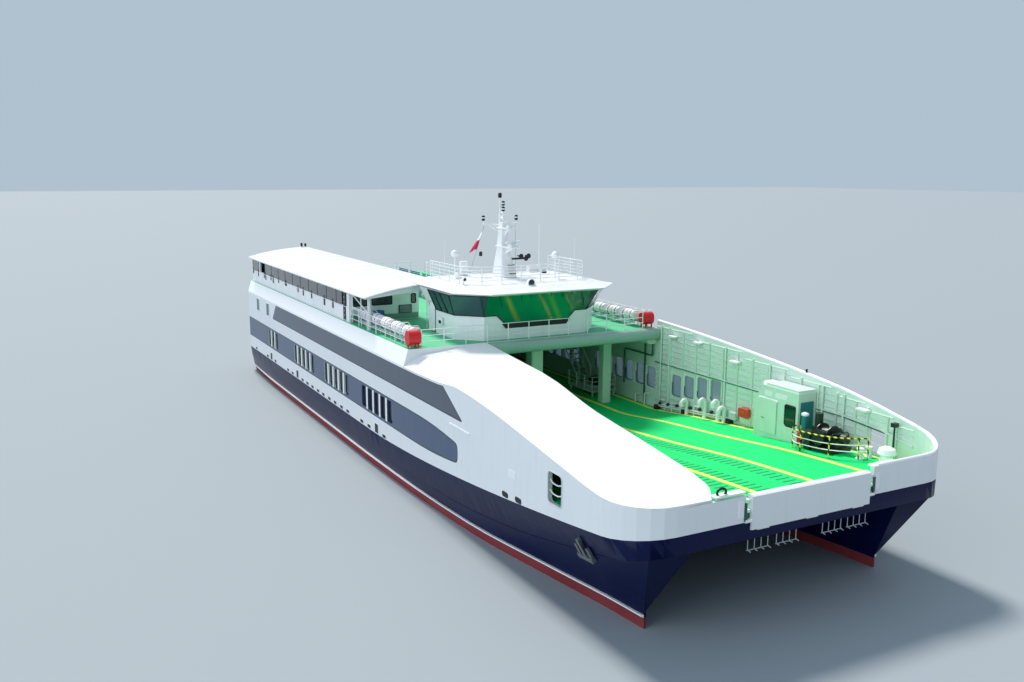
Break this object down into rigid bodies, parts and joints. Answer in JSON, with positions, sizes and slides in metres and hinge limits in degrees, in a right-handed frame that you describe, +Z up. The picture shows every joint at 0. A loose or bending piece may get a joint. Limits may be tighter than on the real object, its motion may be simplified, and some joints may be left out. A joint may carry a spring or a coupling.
{
  "type": "half-size scale model of a double-hulled ro-ro ferry",
  "caption": "Double-hulled open-bow vehicle ferry with a starboard casing, a hinged stern ramp and bow door, a raised wheelhouse, rudders and propellers, afloat; half-size model.",
  "frame": {"origin": "amidships on the centreline at the waterline, where the water carries the ship", "axes": "+X towards the bow, +Y to port, +Z up"},
  "size_m": [30.525, 8.9212, 9.35],
  "materials": {
    "white_enamel": "semi-gloss marine enamel",
    "navy_enamel": "semi-gloss marine enamel, antifouling red below the water",
    "green_deck_paint": "matt non-skid deck paint",
    "pale_green_enamel": "satin enamel",
    "red_enamel": "gloss",
    "tinted_glass": "green tinted, clear",
    "propeller_bronze": "polished by the water",
    "galvanised_steel": "dull galvanised",
    "machinery_paint": "satin, greasy"
  },
  "bodies": {
    "hull": {"aft_house": "white_enamel", "aft_roof": "white_enamel", "anchor_port": "galvanised_steel", "anchor_starboard": "galvanised_steel", "bow_corner_port": "white_enamel", "bow_corner_starboard": "white_enamel", "capstan": "white_enamel", "casing_starboard": "white_enamel", "control_cabin": "pale_green_enamel", "cross_structure": "navy_enamel", "front_girder": "pale_green_enamel", "hull_port": "navy_enamel", "hull_starboard": "navy_enamel", "liferafts_port": "white_enamel", "liferafts_starboard": "white_enamel", "mast": "white_enamel", "passenger_deck": "green_deck_paint", "pillar_centre": "pale_green_enamel", "pillar_port": "pale_green_enamel", "port_wall_frames": "pale_green_enamel", "rail_aft": "white_enamel", "rail_front": "white_enamel", "rail_port": "white_enamel", "rail_starboard": "white_enamel", "rail_wheelhouse_roof": "white_enamel", "red_box_port": "red_enamel", "red_box_starboard": "red_enamel", "roof_post_outboard": "white_enamel", "roof_post_inboard": "white_enamel", "shaft_port": "galvanised_steel", "shaft_starboard": "galvanised_steel", "side_wall_port": "white_enamel", "side_wall_starboard": "white_enamel", "spray_rail_port": "white_enamel", "spray_rail_starboard": "white_enamel", "stern_corner_port": "white_enamel", "stern_corner_starboard": "white_enamel", "stern_header": "white_enamel", "vehicle_deck": "green_deck_paint", "wheelhouse_glazing": "tinted_glass", "wheelhouse_roof": "white_enamel", "wheelhouse_walls": "white_enamel", "windlass": "machinery_paint", "windlass_guard": "galvanised_steel"},
    "bow_door": {"bow_door": "white_enamel"},
    "stern_ramp": {"stern_ramp": "white_enamel"},
    "rudder_port": {"rudder_port": "navy_enamel"},
    "rudder_starboard": {"rudder_starboard": "navy_enamel"},
    "propeller_port": {"propeller_port": "propeller_bronze"},
    "propeller_starboard": {"propeller_starboard": "propeller_bronze"},
    "radar_lower": {"radar_lower": "white_enamel"},
    "radar_upper": {"radar_upper": "white_enamel"},
    "control_cabin_door": {"control_cabin_door": "pale_green_enamel"}
  },
  "joints": [
    {"name": "bow_door_fold", "type": "hinge", "parent": "hull", "child": "bow_door", "pos_m": [15.2275, 0, 2.18], "axis": [0, 1, 0], "range_deg": [0, 100]},
    {"name": "stern_ramp_lower", "type": "hinge", "parent": "hull", "child": "stern_ramp", "pos_m": [-15.24, 0, 1.395], "axis": [0, -1, 0], "range_deg": [0, 100]},
    {"name": "rudder_port_turn", "type": "hinge", "parent": "hull", "child": "rudder_port", "pos_m": [-14.375, 3.25, 0], "axis": [0, 0, 1], "range_deg": [-35, 35]},
    {"name": "rudder_starboard_turn", "type": "hinge", "parent": "hull", "child": "rudder_starboard", "pos_m": [-14.375, -3.25, 0], "axis": [0, 0, 1], "range_deg": [-35, 35]},
    {"name": "propeller_port_spin", "type": "hinge", "parent": "hull", "child": "propeller_port", "pos_m": [-13.8, 3.25, -0.69], "axis": [1, 0, 0], "continuous": true},
    {"name": "propeller_starboard_spin", "type": "hinge", "parent": "hull", "child": "propeller_starboard", "pos_m": [-13.8, -3.25, -0.69], "axis": [1, 0, 0], "continuous": true},
    {"name": "radar_lower_spin", "type": "hinge", "parent": "hull", "child": "radar_lower", "pos_m": [2.33313, 0, 6.8], "axis": [0, 0, 1], "continuous": true},
    {"name": "radar_upper_spin", "type": "hinge", "parent": "hull", "child": "radar_upper", "pos_m": [2.10984, 0, 7.375], "axis": [0, 0, 1], "continuous": true},
    {"name": "cabin_door_swing", "type": "hinge", "parent": "hull", "child": "control_cabin_door", "pos_m": [10.335, 3.6, 2.2], "axis": [0, 0, 1], "range_deg": [0, 110]}
  ],
  "couplings": [
    {"joint": "rudder_port_turn", "follows": "rudder_starboard_turn", "ratio": 1}
  ]
}
